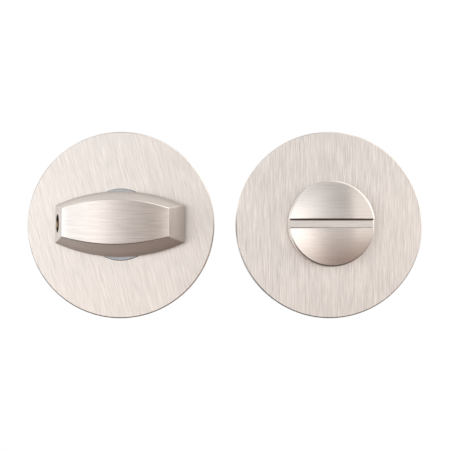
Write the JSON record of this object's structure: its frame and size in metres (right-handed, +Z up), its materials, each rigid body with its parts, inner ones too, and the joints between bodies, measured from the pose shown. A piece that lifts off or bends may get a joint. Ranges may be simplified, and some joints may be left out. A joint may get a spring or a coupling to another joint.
{
  "type": "bathroom thumb turn lock",
  "caption": "Bathroom lock set: a thumb turn and a coin release, each on a round rose with clipped cover, base plate, bush, spring washer and circlip, with spindle, bolts and sleeve nuts.",
  "frame": {"origin": "on the thumb turn's axis, in the plane of the door face, at the middle of the turn rose's back", "axes": "+Y into the door, so the fronts face -Y; +X from the thumb turn to the release; +Z up"},
  "size_m": [0.11, 0.0733, 0.052],
  "materials": {
    "satin_nickel": "brushed satin nickel plate, slightly warm",
    "plate_nylon": "dark glass-filled nylon, moulded",
    "bush_nylon": "pale blue-grey acetal, smooth",
    "spring_steel": "oiled spring steel",
    "zinc_steel": "bright zinc plate",
    "brass": "turned brass",
    "black_steel": "black oxide steel"
  },
  "bodies": {
    "root": {"turn_rose_cover": "satin_nickel", "turn_bearing_bush": "bush_nylon", "turn_base_plate": "plate_nylon", "turn_wave_washer": "spring_steel", "through_bolt_left": "zinc_steel", "through_bolt_right": "zinc_steel", "release_rose_cover": "satin_nickel", "release_bearing_bush": "bush_nylon", "release_base_plate": "plate_nylon", "release_wave_washer": "spring_steel", "sleeve_nut_left": "brass", "sleeve_nut_right": "brass"},
    "turn": {"thumb_turn": "satin_nickel", "thumb_turn_grub_screw": "black_steel", "spindle": "zinc_steel", "turn_thrust_washer": "zinc_steel", "turn_circlip": "spring_steel"},
    "release": {"release_head": "satin_nickel", "release_thrust_washer": "zinc_steel", "release_circlip": "spring_steel"}
  },
  "joints": [
    {"name": "thumb_turn_hinge", "type": "hinge", "parent": "root", "child": "turn", "pos_m": [0, 0, 0], "axis": [0, 1, 0], "range_deg": [0, 90]},
    {"name": "release_hinge", "type": "hinge", "parent": "root", "child": "release", "pos_m": [0.058, 0, 0], "axis": [0, -1, 0], "range_deg": [0, 90]}
  ]
}
